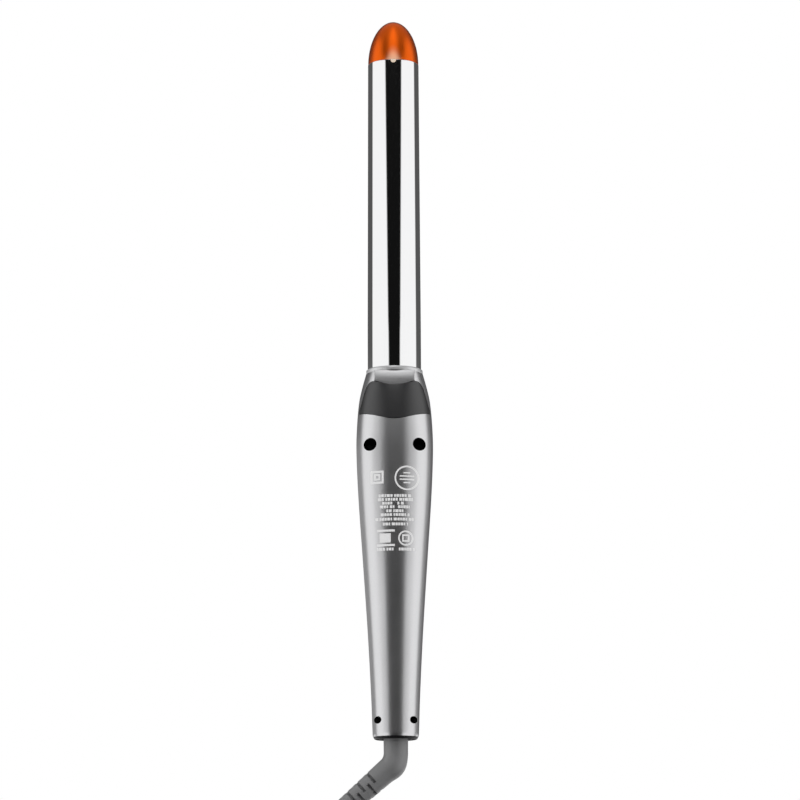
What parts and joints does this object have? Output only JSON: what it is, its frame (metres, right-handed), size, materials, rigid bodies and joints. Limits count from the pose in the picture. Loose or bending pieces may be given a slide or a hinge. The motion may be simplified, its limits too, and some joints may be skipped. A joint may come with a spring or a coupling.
{
  "type": "curling iron",
  "caption": "Hair curling iron with a chrome barrel, spring clamp, bullet-shaped cool tip, waisted silver handle, flip-out rest stand and a swivel cord hung in a tied hank.",
  "frame": {"origin": "on the axis of the handle at the middle of the grip, 80 mm above the tail end", "axes": "+Z along the barrel towards the cool tip, -Y out of the back with the rest stand, +Y out of the front with the clamp and the switch"},
  "size_m": [0.0778, 0.0573, 0.6134],
  "materials": {
    "silver_paint": "silver metallic paint over moulded plastic, satin clear coat",
    "dark_plastic": "black moulded plastic, fine texture",
    "dark_satin": "dark grey moulded plastic, satin",
    "black_steel": "blackened steel",
    "steel": "zinc-plated steel",
    "chrome": "polished mirror plating",
    "heat_plastic": "pale heat-resistant plastic, matt",
    "orange_plastic": "orange heat-resistant plastic, satin, slightly translucent",
    "ceramic": "white ceramic",
    "aluminium": "extruded",
    "mica": "mica sheet",
    "sensor_glass": "glass bead",
    "lead_sleeve": "silicone sleeve",
    "board_green": "solder mask",
    "capacitor_yellow": "epoxy film",
    "led_red": "tinted epoxy",
    "lens_orange": "tinted clear plastic",
    "brass": "plain",
    "brass_plated": "nickel-plated brass",
    "cord_rubber": "dark grey, satin",
    "plug_rubber": "dark grey moulded, satin",
    "tie_plastic": "black strap"
  },
  "bodies": {
    "handle": {"rear_shell": "silver_paint", "front_shell": "silver_paint", "neck_ring": "silver_paint", "tail_ring": "dark_plastic", "upper_screws": "black_steel", "lower_screws": "black_steel", "barrel_tube": "chrome", "barrel_mount": "heat_plastic", "cool_tip": "orange_plastic", "tip_insulator": "heat_plastic", "heater_element": "ceramic", "heat_spreader_front": "aluminium", "heat_spreader_rear": "aluminium", "mica_sheets": "mica", "temperature_sensor": "sensor_glass", "thermal_fuse": "steel", "heater_leads": "lead_sleeve", "circuit_board": "board_green", "triac": "dark_plastic", "capacitor": "capacitor_yellow", "indicator_led": "led_red", "indicator_lens": "lens_orange", "switch_body": "dark_plastic", "mains_leads": "lead_sleeve", "brush_block": "heat_plastic", "brush_contacts": "brass", "clamp_bracket": "steel", "bracket_rivets": "steel", "clamp_pivot_pin": "steel", "clamp_spring": "steel"},
    "clamp": {"clamp_blade": "chrome", "clamp_lever": "dark_satin", "lever_screws": "steel"},
    "stand": {"rest_stand": "dark_satin", "stand_pin": "steel"},
    "switch": {"switch_knob": "dark_satin", "switch_lever": "heat_plastic"},
    "cord": {"swivel_hub": "dark_plastic", "contact_rings": "brass", "strain_relief": "cord_rubber", "cord_tube": "cord_rubber", "cord_hank": "cord_rubber", "hank_tie": "tie_plastic", "cord_tail": "cord_rubber", "plug_body": "plug_rubber", "plug_pins": "brass_plated"}
  },
  "joints": [
    {"name": "clamp_hinge", "type": "hinge", "parent": "handle", "child": "clamp", "pos_m": [0, 0.0184, 0.102], "axis": [-1, 0, 0], "range_deg": [0, 20], "stiffness_Nm_per_rad": 0.3, "springref_deg": -34.38},
    {"name": "stand_hinge", "type": "hinge", "parent": "handle", "child": "stand", "pos_m": [0, -0.0139, 0.0718], "axis": [1, 0, 0], "range_deg": [0, 90]},
    {"name": "switch_slide", "type": "slide", "parent": "handle", "child": "switch", "axis": [0, 0, 1], "range_m": [0, 0.006]},
    {"name": "cord_swivel", "type": "hinge", "parent": "handle", "child": "cord", "pos_m": [0, 0, -0.077], "axis": [0, 0, 1], "continuous": true}
  ]
}
